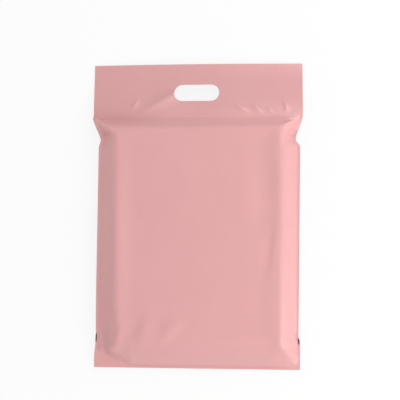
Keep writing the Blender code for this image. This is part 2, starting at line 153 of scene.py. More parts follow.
@dataclass(frozen=True)
class BagForm:
    """The form of the bag, as heights over its flat plan. All sizes are in metres.

    Heights along the bag, called y here, are measured from its bottom edge.
    """

    width: float
    length: float
    load_thickness: float = 0.046
    header_depth: float = 0.088
    films_thickness: float = 0.0010
    flap_thickness: float = 0.0005
    flap_edge_above_foot: float = 0.008
    side_film: float = 0.042
    side_seal: float = 0.004
    shoulder_run: float = 0.017
    foot_run: float = 0.037
    seal_depth: float = 0.004
    side_edge_blend: float = 0.011
    shoulder_edge_blend: float = 0.0035
    foot_edge_blend: float = 0.030
    mitre_blend: float = 0.010
    corner_edge_blend: float = 0.010
    corner_width: float = 0.034
    face_dish: float = 0.0016
    dish_run: float = 0.030
    seam_height: float = 0.023
    header_arch: float = 0.010
    top_arch: float = 0.008
    header_sag: float = 0.003
    neck_ramp: float = 0.0035
    neck_ramp_fall: float = 0.78
    seal_height: float = 0.012
    seal_droop_run: float = 0.110
    top_edge_clearance: float = 0.0004
    pinch_below_header: float = 0.039
    pinch_recovery: float = 0.014
    pinch_rounding: float = 1.3
    pinch_fullness: float = 1.5
    neck_inset: float = 0.006
    corner_turn: float = 0.016
    foot_inset_top: float = 0.130
    foot_inset_fade: float = 0.070
    ear_top: float = 0.058
    ear_crease: float = 0.001
    fold_closing: float = 2.0
    fold_end_width: float = 0.4
    crease_mark_fade: float = 3.0
    hole_width: float = 0.075
    hole_height: float = 0.028
    hole_corner: float = 0.0135
    hole_below_top: float = 0.0355
    weld_groove: float = 0.00025
    weld_groove_width: float = 0.0016
    left: Side = Side(
        sign=-1,
        neck_height=0.0135,
        shoulder_spread=-0.0026,
        foot_spread=0.0032,
        pinch_depth=0.0036,
        ear_flare=0.0077,
        ear_step=0.048,
        ear_height=0.027,
        ear_width=0.056,
        corner_run=0.012,
        ear_softness=0.7,
        corner_reach=0.015,
        corner_seam_reach=0.0117,
        foot_inset=0.006,
        face_spread=0.0,
    )
    right: Side = Side(
        sign=1,
        neck_height=0.0330,
        shoulder_spread=0.0035,
        foot_spread=0.0008,
        pinch_depth=0.0076,
        ear_flare=0.0034,
        ear_step=0.010,
        ear_height=0.004,
        ear_width=0.020,
        corner_run=0.045,
        ear_softness=0.0,
        corner_reach=0.002,
        corner_seam_reach=0.018,
        foot_inset=0.0,
        face_spread=0.0075,
    )

    @property
    def half_width(self) -> float:
        """Half the flat bag's width."""
        return self.width / 2

    @property
    def header_foot(self) -> float:
        """How far up the header begins."""
        return self.length - self.header_depth

    @property
    def shoulder(self) -> float:
        """How far up the load's top edge lies."""
        return self.header_foot - self.shoulder_run

    @property
    def face_half_width(self) -> float:
        """Half the width of the load's face."""
        return self.half_width - self.side_film

    @property
    def body_reach(self) -> float:
        """How far from the middle the filled body's edge lies."""
        slope = self.side_film - self.side_seal
        return self.face_half_width + self.side_seal + math.sqrt(slope**2 - self.seam_height**2)

    @property
    def pinch_y(self) -> float:
        """How far up the body is narrowest."""
        return self.header_foot - self.pinch_below_header

    @property
    def hole_middle(self) -> float:
        """How far up the middle of the carrying hole lies."""
        return self.length - self.hole_below_top - self.hole_height / 2

    @property
    def folds(self) -> tuple[Fold, ...]:
        """Every fold, from the header down.

        Returns:
            The long folds below the hole, the puckers beside them, the folds at both ends of the
            shoulder, and the soft swells of the face and of the slopes round it.
        """
        half, face, foot = self.half_width, self.face_half_width, self.header_foot
        hole_end, middle, both = self.hole_width / 2, self.hole_middle, Films.BOTH
        long_start, long_end = (-hole_end + 0.026, middle + 0.010), (-hole_end - 0.0595, foot + 0.003)
        short_start, short_end = (-hole_end - 0.0575, foot + 0.030), (-hole_end - 0.0725, foot + 0.009)
        hole_folds = (
            Fold(long_start, long_end, 0.0046, 0.056, 0.015, both, ease=1.3, peak=0.44),
            Fold(short_start, short_end, 0.0024, 0.008, 0.010, both),
        )
        puckers = (
            Fold((half - 0.115, foot + 0.023), (half - 0.085, foot + 0.003), 0.0026, 0.006, 0.012, both),
            Fold((half - 0.085, foot + 0.021), (half - 0.064, foot + 0.002), 0.0024, 0.006, 0.010, both),
            Fold((half - 0.058, foot + 0.014), (half - 0.048, foot + 0.003), 0.0015, 0.004, 0.006, both),
            Fold((half - 0.030, foot + 0.027), (half - 0.025, foot + 0.003), 0.0022, 0.012, 0.006, both),
        )
        neck_folds = (
            Fold((face + 0.008, self.shoulder - 0.001), (half - 0.010, foot - 0.008), 0.0032, 0.005, 0.007),
            Fold((half - 0.015, foot - 0.010), (half - 0.003, foot - 0.001), 0.0016, 0.003, 0.004),
            Fold((half - 0.027, foot - 0.003), (half - 0.018, foot - 0.008), 0.0012, 0.002, 0.003),
            Fold((-half, foot), (-half + 0.030, self.shoulder - 0.004), 0.0040, 0.012, 0.018, ease=1.2),
        )
        swells = (
            Fold((-face + 0.060, 0.100), (-face + 0.034, 0.028), 0.0022, 0.028, 0.018, soft=True),
            Fold((-face + 0.118, 0.094), (-face + 0.060, 0.038), 0.0022, 0.016, 0.026, soft=True),
            Fold((face - 0.018, foot - 0.002), (face - 0.014, 0.180), -0.0026, 0.026, 0.040, soft=True),
            Fold((-face + 0.002, foot - 0.012), (-face - 0.001, 0.055), 0.0022, 0.030, 0.010, soft=True),
            Fold((-face - 0.0094, 0.094), (-face - 0.0098, 0.034), 0.0007, 0.004, 0.004, soft=True),
            Fold((-face - 0.0245, 0.078), (-face - 0.0215, 0.020), -0.0042, 0.012, 0.010, soft=True),
            Fold((face - 0.006, 0.262), (face - 0.020, 0.140), -0.0012, 0.010, 0.016, soft=True),
        )
        return hole_folds + puckers + neck_folds + swells

    def own(self, x: np.ndarray, label: str) -> np.ndarray:
        """What each point's own side has for one of the fields of Side, by the field's name."""
        return np.where(x < 0, getattr(self.left, label), getattr(self.right, label))

    def pinched(self, side: Side) -> float:
        """How far one side's edge is from the middle where the body is narrowest."""
        return self.body_reach + side.shoulder_spread - side.pinch_depth

    def side_reach(self, side: Side, y: np.ndarray) -> np.ndarray:
        """How far one side's edge is from the middle.

        Args:
            side: The side.
            y: Heights up the bag.

        Returns:
            The reach at each height.
        """
        body_top = self.pinch_y - self.pinch_recovery
        pinched = self.pinched(side)
        share = np.clip((y - self.pinch_y) / self.pinch_below_header, 0.0, 1.0)
        opening = 1 - (1 - share**self.pinch_rounding) ** self.pinch_fullness
        neck = pinched + (self.half_width - pinched) * opening
        recovery = self.body_reach + side.shoulder_spread
        recovery = recovery - blend(0.0, side.pinch_depth, (y - body_top) / self.pinch_recovery)
        share = np.clip((y - self.ear_top) / (body_top - self.ear_top), 0.0, 1.0)
        body = self.body_reach + side.foot_spread + (side.shoulder_spread - side.foot_spread) * share
        ear = self.body_reach + side.ear_flare
        body = ear + (body - ear) * blend(0.0, 1.0, (y - self.ear_top) / side.ear_step + 1.0)
        low = np.where(y >= body_top, recovery, body)
        return np.where(y >= self.header_foot, self.half_width, np.where(y >= self.pinch_y, neck, low))

    def reach(self, x: np.ndarray, y: np.ndarray) -> np.ndarray:
        """How far from the middle the edge lies on each point's own side.

        Args:
            x: Places across the bag.
            y: Heights up the bag.

        Returns:
            The reach at each point.
        """
        return np.where(x < 0, self.side_reach(self.left, y), self.side_reach(self.right, y))

    def meeting_height(self, x: np.ndarray, y: np.ndarray) -> np.ndarray:
        """How high above the floor the two films lie where they meet.

        Args:
            x: Places across the bag.
            y: Heights up the bag.

        Returns:
            The height above the floor at each point.
        """
        top = self.top_edge_clearance + self.flap_thickness + self.films_thickness / 2
        across = x / self.half_width
        neck = self.left.neck_height + (self.right.neck_height - self.left.neck_height) * (across + 1) / 2
        neck = neck + self.header_arch * (1 - across * across)
        share = np.clip((y - self.header_foot) / self.header_depth, 0.0, 1.0)
        top = top + self.top_arch * (1 - across * across)
        # The header falls halfway between a straight line and an easy curve.
        header = (neck + (top - neck) * share + blend(neck, top, share)) / 2
        body = blend(self.seal_height, self.seam_height, y / self.seal_droop_run)
        inland = self.half_width - np.abs(x)
        ramp = np.minimum(self.neck_ramp + self.neck_ramp_fall * inland, self.pinch_below_header)
        low = blend(neck, body, (self.header_foot - y) / ramp)
        return np.where(y >= self.header_foot, header, low)

    def foot_share(self, x: np.ndarray, y: np.ndarray) -> np.ndarray:
        """How far up the slope above the bottom seal each point lies, from 0 on the seal to 1 on the face.

        Args:
            x: Places across the bag.
            y: Heights up the bag.

        Returns:
            The share of the slope at each point.
        """
        cornered = blend(0.0, 1.0, (np.abs(x) - self.face_half_width) / self.corner_width + 0.5)
        run = self.foot_run + (self.own(x, "corner_run") - self.foot_run) * cornered
        rounding = self.foot_edge_blend + (self.corner_edge_blend - self.foot_edge_blend) * cornered
        seam = self.body_reach - self.side_seal
        low = np.full_like(x, self.seal_depth)
        for side in (self.left, self.right):
            low += blend(0.0, side.ear_height, (x * side.sign - seam) / side.ear_width + 1)
        softness = self.ear_crease + self.own(x, "ear_softness") * cornered
        share = -soft_least((low - y) / run, np.zeros_like(x), softness)
        return soft_least(np.ones_like(x), share, rounding / run)

    def fullness(self, x: np.ndarray, y: np.ndarray) -> np.ndarray:
        """0 where the two films lie together and 1 where they lie on the load's faces.

        Args:
            x: Places across the bag.
            y: Heights up the bag.

        Returns:
            The fullness at each point.
        """
        pinched = np.where(x < 0, self.pinched(self.left), self.pinched(self.right))
        reach = self.reach(x, y)
        climb = (y - self.pinch_y + self.pinch_recovery) / self.pinch_below_header
        by_shoulder = blend(0.0, 1.0, (y - self.shoulder) / self.corner_turn + 1)
        by_foot = blend(1.0, 0.0, (y - self.foot_inset_top) / self.foot_inset_fade + 1)
        seam = np.where(y > self.pinch_y, np.minimum(reach, pinched), reach) - self.side_seal
        seam = seam - blend(0.0, self.neck_inset, climb) + self.own(x, "corner_seam_reach") * by_shoulder
        corner = self.own(x, "corner_reach") * by_shoulder
        inset = self.own(x, "foot_inset") * by_foot
        run = seam - self.face_half_width - corner - self.own(x, "face_spread") + inset
        softness = (self.side_edge_blend - inset) / self.side_film
        share = soft_least(np.ones_like(x), (seam - np.abs(x)) / run, softness)
        across = x / self.half_width
        crease = self.header_foot - self.header_sag * (1 - across**4)
        rise = (crease - y) / self.shoulder_run
        share = soft_least(share, rise, self.shoulder_edge_blend / self.shoulder_run)
        mitre = self.mitre_blend / self.foot_run
        share = soft_least(share, self.foot_share(x, y), mitre) / (1 - mitre / 4)
        return np.maximum(share, 0.0)

    def dish(self, x: np.ndarray, y: np.ndarray) -> np.ndarray:
        """How far the front film sags between the load's proud edges.

        Args:
            x: Places across the bag.
            y: Heights up the bag.

        Returns:
            The sag at each point.
        """
        inset = np.minimum(self.face_half_width - np.abs(x), self.shoulder - y)
        inset = np.minimum(inset, y - self.seal_depth - self.foot_run)
        return blend(0.0, self.face_dish, inset / self.dish_run)

    def hole_gap(self, x: np.ndarray, y: np.ndarray) -> np.ndarray:
        """How far outside the carrying hole's edge each point lies, below nothing inside it.

        Args:
            x: Places across the bag.
            y: Heights up the bag.

        Returns:
            The gap at each point.
        """
        across = np.maximum(np.abs(x) - (self.hole_width / 2 - self.hole_corner), 0.0)
        up = np.maximum(np.abs(y - self.hole_middle) - (self.hole_height / 2 - self.hole_corner), 0.0)
        return np.hypot(across, up) - self.hole_corner

    def fold_shares(self, fold: Fold, x: np.ndarray, y: np.ndarray) -> tuple[np.ndarray, np.ndarray]:
        """Where points lie on a fold.

        Args:
            fold: The fold.
            x: Places across the bag.
            y: Heights up the bag.

        Returns:
            How open the fold is at each point's place along it, and how far down its flank the point
            lies, from 0 on the spine to 1 at the flank's foot.
        """
        run_x, run_y = fold.end[0] - fold.start[0], fold.end[1] - fold.start[1]
        length = math.hypot(run_x, run_y)
        off_x, off_y = x - fold.start[0], y - fold.start[1]
        share = (off_x * run_x + off_y * run_y) / length**2
        leftward = (run_x * off_y - run_y * off_x) / length
        share = np.interp(share, (0.0, fold.peak, 1.0), (0.0, 0.5, 1.0))
        # The opening is 1 at the peak and 0 at both ends.
        opening = 4 * share * (1 - share)
        width = np.where(leftward > 0, fold.left, fold.right)
        if not fold.soft:
            width = width * (self.fold_end_width + (1 - self.fold_end_width) * opening)
        return opening, np.clip(np.abs(leftward) / width, 0.0, 1.0)

    def folded(self, x: np.ndarray, y: np.ndarray, films: Films) -> np.ndarray:
        """How far the folds in these films lift each point.

        Args:
            x: Places across the bag.
            y: Heights up the bag.
            films: Which folds count.

        Returns:
            The lift at each point.
        """
        total = np.zeros_like(x)
        for fold in self.folds:
            if fold.films is films:
                opening, down = self.fold_shares(fold, x, y)
                flank = blend(1.0, 0.0, down) if fold.soft else (1 - down) ** fold.ease
                total += fold.rise * opening**self.fold_closing * flank
        return total

    def creased(self, x: np.ndarray, y: np.ndarray) -> np.ndarray:
        """How sharply the film is creased, from 0 to 1, for the paler colour along crease spines: partly the
        whitening that a crease leaves and partly a painted highlight.

        Args:
            x: Places across the bag.
            y: Heights up the bag.

        Returns:
            The mark's strength at each point.
        """
        mark = np.zeros_like(x)
        for fold in self.folds:
            if not fold.soft:
                opening, down = self.fold_shares(fold, x, y)
                mark = np.maximum(mark, opening * np.maximum(1 - down * self.crease_mark_fade, 0.0))
        return mark

    def weld(self, y: np.ndarray) -> np.ndarray:
        """How deep the bottom weld has sunk into the film.

        Args:
            y: Heights up the bag.

        Returns:
            The depth at each height.
        """
        off = np.abs(y - self.seal_depth) / self.weld_groove_width
        return self.weld_groove * blend(1.0, 0.0, off)

    def front_height(self, x: np.ndarray, y: np.ndarray) -> np.ndarray:
        """How high the front film's outer side lies.

        Args:
            x: Places across the bag.
            y: Heights up the bag.

        Returns:
            The height above the floor at each point.
        """
        rest = self.meeting_height(x, y) + self.films_thickness / 2
        crown = self.load_thickness - self.dish(x, y)
        lifted = self.folded(x, y, Films.BOTH) + self.folded(x, y, Films.FRONT)
        return rest + (crown - rest) * self.fullness(x, y) + lifted - self.weld(y)

    def back_height(self, x: np.ndarray, y: np.ndarray) -> np.ndarray:
        """How high the back film's outer side lies, with the closing flap over it on the header.

        Args:
            x: Places across the bag.
            y: Heights up the bag.

        Returns:
            The height above the floor at each point.
        """
        rest = self.meeting_height(x, y) - self.films_thickness / 2
        flap = np.where(y > self.header_foot + self.flap_edge_above_foot, self.flap_thickness, 0.0)
        return rest * (1 - self.fullness(x, y)) + self.folded(x, y, Films.BOTH) - flap


class FlatPlan:
    """The film drawn flat: points, and the lines between them that its triangles keep.

    Points closer than merge_gap are one. A filling point keeps least_gap, a share of the pitch, clear of
    the lines. A triangle is left out where it lies deeper inside the hole than chord_share of its
    corners' radius.
    """

    merge_gap: float = 1e-6
    least_gap: float = 0.6
    chord_share: float = 0.01
    least_arc_steps: int = 4
    least_spine_steps: int = 2

    def __init__(self, form: BagForm, rim_pitch: float) -> None:
        """Draws the bag's edge and its hole.

        Args:
            form: The bag's form.
            rim_pitch: How far apart the points along the edges are.
        """
        self.form = form
        self.rim_pitch = rim_pitch
        self.points: list[tuple[float, float]] = []
        self.lines: list[tuple[int, int]] = []
        self.rises = self.heights(0.0, form.header_foot)[:-1]
        self.rises = np.concatenate([self.rises, self.heights(form.header_foot, form.length)])
        self.add_run(self.edge(), closed=True)
        self.add_run(self.hole(), closed=True)

    def heights(self, low: float, high: float) -> np.ndarray:
        """Evenly spaced values from low to high, about a rim pitch apart.

        Args:
            low: The first value.
            high: The last value.

        Returns:
            The values.
        """
        return np.linspace(low, high, max(round((high - low) / self.rim_pitch), 1) + 1)

    def edge(self) -> list[tuple[float, float]]:
        """The bag's edge.

        Returns:
            Its points, anticlockwise from the bottom left corner.
        """
        form, rises = self.form, self.rises
        left, right = -form.side_reach(form.left, rises), form.side_reach(form.right, rises)
        across = self.heights(left[0], right[0])
        over = self.heights(left[-1], right[-1])
        bottom = [(x, 0.0) for x in across]
        top = [(x, form.length) for x in over[::-1]]
        climb = list(zip(right[1:-1], rises[1:-1]))
        descent = list(zip(left[1:-1], rises[1:-1]))[::-1]
        return bottom + climb + top + descent

    def hole(self) -> list[tuple[float, float]]:
        """The carrying hole's edge: straight runs with quarter-circle corners.

        Returns:
            Its points, anticlockwise.
        """
        form = self.form
        steps = max(round(form.hole_corner * math.pi / 2 / self.rim_pitch), self.least_arc_steps)
        across, up = form.hole_width / 2 - form.hole_corner, form.hole_height / 2 - form.hole_corner
        corners = ((across, up), (-across, up), (-across, -up), (across, -up))
        points: list[tuple[float, float]] = []
        for corner, (x, y) in enumerate(corners):
            turns = [(corner + step / steps) * math.pi / 2 for step in range(steps + 1)]
            arc = [(x + form.hole_corner * math.cos(t), y + form.hole_corner * math.sin(t)) for t in turns]
            points += [(px, form.hole_middle + py) for px, py in arc]
        drawn = []
        for (x, y), (far_x, far_y) in zip(points, points[1:] + points[:1]):
            parts = max(round(math.dist((x, y), (far_x, far_y)) / self.rim_pitch), 1)
            shares = [step / parts for step in range(parts)]
            drawn += [(x + (far_x - x) * share, y + (far_y - y) * share) for share in shares]
        return drawn

    def add_run(self, run: list[tuple[float, float]], closed: bool = False) -> None:
        """Adds a run of points, joined one to the next.

        Args:
            run: The points.
            closed: Whether the last is joined to the first.
        """
        first = len(self.points)
        self.points += [(float(x), float(y)) for x, y in run]
        last = len(self.points) - 1
        self.lines += [(index, index + 1) for index in range(first, last)]
        if closed:
            self.lines.append((last, first))

    def add_level(self, y: float) -> None:
        """Adds a straight line across the bag.

        Args:
            y: How far up it lies.
        """
        level = np.array([y])
        left = -float(self.form.side_reach(self.form.left, level)[0])
        right = float(self.form.side_reach(self.form.right, level)[0])
        inset = self.rim_pitch
        self.add_run([(x, y) for x in self.heights(left + inset, right - inset)])

    def add_seams(self) -> None:
        """Adds the side seams."""
        form = self.form
        rises = self.heights(form.seal_depth, form.header_foot - self.rim_pitch)
        for side in (form.left, form.right):
            seam = form.side_reach(side, rises) - form.side_seal
            self.add_run(list(zip(side.sign * seam, rises)))

    def add_spines(self) -> None:
        """Adds the spine of each crisp fold, as far as it lies outside the hole."""
        for fold in self.form.folds:
            if fold.soft:
                continue
            steps = max(round(math.dist(fold.start, fold.end) / self.rim_pitch), self.least_spine_steps)
            across = np.linspace(fold.start[0], fold.end[0], steps + 1)
            up = np.linspace(fold.start[1], fold.end[1], steps + 1)
            clear = self.form.hole_gap(across, up) > self.rim_pitch / 2
            self.add_run(list(zip(across[clear], up[clear])))

    def fill(self, pitch: float) -> None:
        """Fills the film with points in a honeycomb, clear of those that are there already.

        Args:
            pitch: How far apart the points are.
        """
        tree = KDTree(len(self.points))
        for index, (x, y) in enumerate(self.points):
            tree.insert((x, y, 0.0), index)
        tree.balance()
        row_pitch = pitch * math.sqrt(3) / 2
        gap = pitch * self.least_gap
        half = self.form.half_width
        for row in range(1, round(self.form.length / row_pitch)):
            shift = pitch / 2 * (row % 2)
            y = row * row_pitch
            for x in np.arange(-half + shift, half, pitch):
                if self.form.hole_gap(x, y) > 0 and tree.find((x, y, 0.0))[2] > gap:
                    self.points.append((float(x), y))

    def triangles(self) -> tuple[np.ndarray, np.ndarray]:
        """Joins the points up.

        Returns:
            The plan's points, and its triangles inside the edge and outside the hole.
        """
        form = self.form
        flat = [Vector(point) for point in self.points]
        made, _, faces, *_ = delaunay_2d_cdt(flat, self.lines, [], 0, self.merge_gap, False)
        points = np.array([tuple(point) for point in made])
        faces = np.array([tuple(face) for face in faces])
        x, y = points[faces].mean(axis=1).T
        left = -np.interp(y, self.rises, form.side_reach(form.left, self.rises))
        right = np.interp(y, self.rises, form.side_reach(form.right, self.rises))
        outside = form.hole_gap(x, y) > -form.hole_corner * self.chord_share
        return points, faces[(x > left) & (x < right) & outside]


def linear(colour: str) -> tuple[float, float, float, float]:
    """Turns an sRGB hex colour into the linear values that a shader takes.

    Args:
        colour: Six hex digits after a hash.

    Returns:
        Red, green, blue and an alpha of 1.
    """
    levels = [int(colour[place : place + 2], 16) / 255 for place in (1, 3, 5)]
    made = [level / 12.92 if level <= 0.04045 else ((level + 0.055) / 1.055) ** 2.4 for level in levels]
    return made[0], made[1], made[2], 1.0


def add_node(
    tree: bpy.types.NodeTree,
    kind: str,
    values: dict | None = None,
    links: dict | None = None,
    **settings: object,
) -> bpy.types.Node:
    """Adds a node to a tree.

    Args:
        tree: The node tree.
        kind: The node's type name.
        values: Values for its inputs, by name or number.
        links: Outputs that its inputs take, by name or number.
        settings: Attributes of the node.

    Returns:
        The node.
    """
    node = tree.nodes.new(kind)
    for name, value in settings.items():
        setattr(node, name, value)
    for key, value in (values or {}).items():
        node.inputs[key].default_value = value
    for key, output in (links or {}).items():
        tree.links.new(output, node.inputs[key])
    return node


def emptied(block: bpy.types.Material | bpy.types.World) -> bpy.types.NodeTree:
    """Turns on the nodes of a material or a world and takes out what is there.

    Args:
        block: The material or the world.

    Returns:
        Its empty node tree.
    """
    block.use_nodes = True
    block.node_tree.nodes.clear()
    return block.node_tree


@dataclass(frozen=True)
class SatinPolyethylene:
    """Blown, co-extruded low-density polyethylene film, pigmented pale pink on its outer side.

    Blowing leaves it smooth and satin: broad soft highlights with fainter, sharper ones on its
    creases. Along their spines its colour is paler: partly the whitening of stretched film and partly a
    painted highlight. The die leaves faint streaks along it.
    """

    name: str = "satin_ldpe_film_pink"
    colour: str = "#E2A7A7"
    deep_colour: str = "#DDA2A2"
    crease_whitening_and_highlight_colour: str = "#E9B2B0"
    roughness: tuple[float, float] = (0.30, 0.40)
    ior: float = 1.51
    cloud_size_mm: float = 60.0
    streak_size_mm: tuple[float, float] = (3.0, 160.0)
    grain_size_mm: float = 1.6
    grain_depth_mm: float = 0.010
    streak_depth_mm: float = 0.02
    streak_range: tuple[float, float] = (0.3, 0.7)

    def material(self) -> bpy.types.Material:
        """Mixes the finish. Its streaks and grain are coarser than real film's, so that they show.

        Returns:
            The finish as a material.
        """
        made = bpy.data.materials.new(self.name)
        tree = emptied(made)
        place = add_node(tree, "ShaderNodeTexCoord").outputs["Object"]
        wide, long = self.streak_size_mm
        stretch = {"Scale": (1 / (wide * MM), 1 / (long * MM), 1.0)}
        drawn = add_node(tree, "ShaderNodeMapping", stretch, {"Vector": place}).outputs["Vector"]
        cloud, streak, grain = (
            add_node(
                tree, "ShaderNodeTexNoise", {"Scale": scale, "Detail": detail}, {"Vector": spot}
            ).outputs["Fac"]
            for scale, detail, spot in (
                (1 / (self.cloud_size_mm * MM), 3.0, place),
                (1.0, 2.0, drawn),
                (1 / (self.grain_size_mm * MM), 2.0, place),
            )
        )
        tones = {6: linear(self.deep_colour), 7: linear(self.colour)}
        tone = add_node(tree, "ShaderNodeMix", tones, {0: cloud}, data_type="RGBA").outputs[2]
        # Along crease spines the colour turns paler: partly the whitening of stretched film, partly a painted
        # highlight.
        mark = add_node(tree, "ShaderNodeAttribute", attribute_name="crease").outputs["Fac"]
        pale = {7: linear(self.crease_whitening_and_highlight_colour)}
        tone = add_node(tree, "ShaderNodeMix", pale, {0: mark, 6: tone}, data_type="RGBA").outputs[2]
        (faint, strong), (glossy, dull) = self.streak_range, self.roughness
        span = {"From Min": faint, "From Max": strong, "To Min": glossy, "To Max": dull}
        gloss = add_node(tree, "ShaderNodeMapRange", span, {"Value": streak}).outputs["Result"]
        below: dict[str, bpy.types.NodeSocket] = {}
        for height, depth in ((streak, self.streak_depth_mm), (grain, self.grain_depth_mm)):
            depths = {"Strength": 1.0, "Distance": depth * MM}
            bump = add_node(tree, "ShaderNodeBump", depths, {"Height": height, **below})
            below = {"Normal": bump.outputs["Normal"]}
        looks = {"Base Color": tone, "Roughness": gloss, **below}
        shader = add_node(tree, "ShaderNodeBsdfPrincipled", {"IOR": self.ior}, looks)
        add_node(tree, "ShaderNodeOutputMaterial", links={"Surface": shader.outputs["BSDF"]})
        return made


@dataclass(frozen=True)
class InnerPly:
    """The film's inner side: the same polyethylene with carbon black, near-black and a little duller."""

    name: str = "carbon_black_ldpe_ply"
    colour: str = "#1E1819"
    worn_colour: str = "#2E2626"
    roughness: tuple[float, float] = (0.38, 0.52)
    ior: float = 1.51
    cloud_size_mm: float = 6.0

    def material(self) -> bpy.types.Material:
        """Mixes the finish.

        Returns:
            The finish as a material.
        """
        made = bpy.data.materials.new(self.name)
        tree = emptied(made)
        place = add_node(tree, "ShaderNodeTexCoord").outputs["Object"]
        size = {"Scale": 1 / (self.cloud_size_mm * MM), "Detail": 2.0}
        cloud = add_node(tree, "ShaderNodeTexNoise", size, {"Vector": place}).outputs["Fac"]
        tones = {6: linear(self.colour), 7: linear(self.worn_colour)}
        tone = add_node(tree, "ShaderNodeMix", tones, {0: cloud}, data_type="RGBA").outputs[2]
        span = {"To Min": self.roughness[0], "To Max": self.roughness[1]}
        gloss = add_node(tree, "ShaderNodeMapRange", span, {"Value": cloud}).outputs["Result"]
        looks = {"Base Color": tone, "Roughness": gloss}
        shader = add_node(tree, "ShaderNodeBsdfPrincipled", {"IOR": self.ior}, looks)
        add_node(tree, "ShaderNodeOutputMaterial", links={"Surface": shader.outputs["BSDF"]})
        return made


class NodeGroup:
    """A Geometry Nodes tree with named inputs, which turns one mesh into another."""

    def __init__(self, name: str, inputs: dict[str, float]) -> None:
        """Makes the tree's sockets.

        Args:
            name: The tree's name.
            inputs: The tree's number inputs and their values.
        """
        self.tree = bpy.data.node_groups.new(name, "GeometryNodeTree")
        face = self.tree.interface
        face.new_socket("Geometry", in_out="OUTPUT", socket_type="NodeSocketGeometry")
        face.new_socket("Geometry", in_out="INPUT", socket_type="NodeSocketGeometry")
        self.values = inputs
        for label in inputs:
            face.new_socket(label, in_out="INPUT", socket_type="NodeSocketFloat")
        self.source = self.tree.nodes.new("NodeGroupInput")

    def add(
        self, kind: str, values: dict | None = None, links: dict | None = None, **settings: object
    ) -> bpy.types.Node:
        """Adds a node to this tree, as add_node does."""
        return add_node(self.tree, kind, values, links, **settings)

    def end(self, geometry: bpy.types.NodeSocket, material: bpy.types.Material) -> None:
        """Makes the tree's result real, gives it its material and hands it out.

        Args:
            geometry: The result.
            material: Its material.
        """
        real = self.add("GeometryNodeRealizeInstances", links={"Geometry": geometry}).outputs["Geometry"]
        dressed = self.add("GeometryNodeSetMaterial", {"Material": material}, {"Geometry": real})
        self.add("NodeGroupOutput", links={"Geometry": dressed.outputs["Geometry"]})

    def applied(self, mesh: bpy.types.Mesh, name: str) -> bpy.types.Object:
        """Runs the tree on a mesh and keeps the result as a plain mesh.

        Args:
            mesh: The mesh that goes in.
            name: The new object's name.

        Returns:
            An object with the result, free of modifiers.
        """
        carrier = bpy.data.objects.new(name, mesh)
        bpy.context.scene.collection.objects.link(carrier)
        modifier = carrier.modifiers.new(name, "NODES")
        modifier.node_group = self.tree
        for item in self.tree.interface.items_tree:
            if item.item_type == "SOCKET" and item.in_out == "INPUT" and item.name in self.values:
                modifier[item.identifier] = self.values[item.name]
        seen = carrier.evaluated_get(bpy.context.evaluated_depsgraph_get())
        result = bpy.data.meshes.new_from_object(seen)
        carrier.modifiers.remove(modifier)
        carrier.data = result
        result.name = name
        return carrier


def report(piece: bpy.types.Object) -> None:
    """Logs a finished piece's name and how many triangles it has."""
    log.info("%s: %d triangles", piece.name, sum(len(face.vertices) - 2 for face in piece.data.polygons))


@dataclass(frozen=True)
class Slack:
    """The slack of loose film: long shallow waves with finer ripples in them.

    It moves whatever lies in the same place by the same amount, as far as its "slack" attribute lets it.
    """

    wave: float = 0.070
    depth: float = 0.0016
    ripple_wave: float = 0.018
    ripple_depth: float = 0.0003
    seed: float = 4.0

    def inputs(self) -> dict[str, float]:
        """Names the sizes as a tree's inputs.

        Returns:
            The inputs that set the slack, and their values.
        """
        return {
            "Slack Wave": self.wave,
            "Slack Depth": self.depth,
            "Ripple Wave": self.ripple_wave,
            "Ripple Depth": self.ripple_depth,
            "Seed": self.seed,
        }

    def moved(self, group: NodeGroup, geometry: bpy.types.NodeSocket) -> bpy.types.NodeSocket:
        """Adds the nodes that lift geometry by the slack.

        Args:
            group: The tree, which has the slack's inputs.
            geometry: What is lifted.

        Returns:
            The lifted geometry.
        """
        sockets = group.source.outputs
        place = group.add("GeometryNodeInputPosition").outputs["Position"]
        level = {1: (1.0, 1.0, 0.0)}
        flat = group.add("ShaderNodeVectorMath", level, {0: place}, operation="MULTIPLY").outputs["Vector"]
        free = group.add("GeometryNodeInputNamedAttribute", {"Name": "slack"}, data_type="FLOAT")
        waves = []
        for label in ("Slack", "Ripple"):
            scale = group.add("ShaderNodeMath", {0: 1.0}, {1: sockets[f"{label} Wave"]}, operation="DIVIDE")
            noise = group.add(
                "ShaderNodeTexNoise",
                {"Detail": 1.0},
                {"Vector": flat, "Scale": scale.outputs[0], "W": sockets["Seed"]},
                noise_dimensions="4D",
            )
            middle = group.add("ShaderNodeMath", {1: 0.5}, {0: noise.outputs["Fac"]}, operation="SUBTRACT")
            sized = {0: middle.outputs[0], 1: sockets[f"{label} Depth"]}
            waves.append(group.add("ShaderNodeMath", {}, sized, operation="MULTIPLY").outputs[0])
        both = group.add("ShaderNodeMath", {}, {0: waves[0], 1: waves[1]}, operation="ADD")
        allowed = {0: both.outputs[0], 1: free.outputs["Attribute"]}
        lift = group.add("ShaderNodeMath", {}, allowed, operation="MULTIPLY").outputs[0]
        offset = group.add("ShaderNodeCombineXYZ", {}, {"Z": lift}).outputs[0]
        shifted = group.add("GeometryNodeSetPosition", {}, {"Geometry": geometry, "Offset": offset})
        return shifted.outputs["Geometry"]


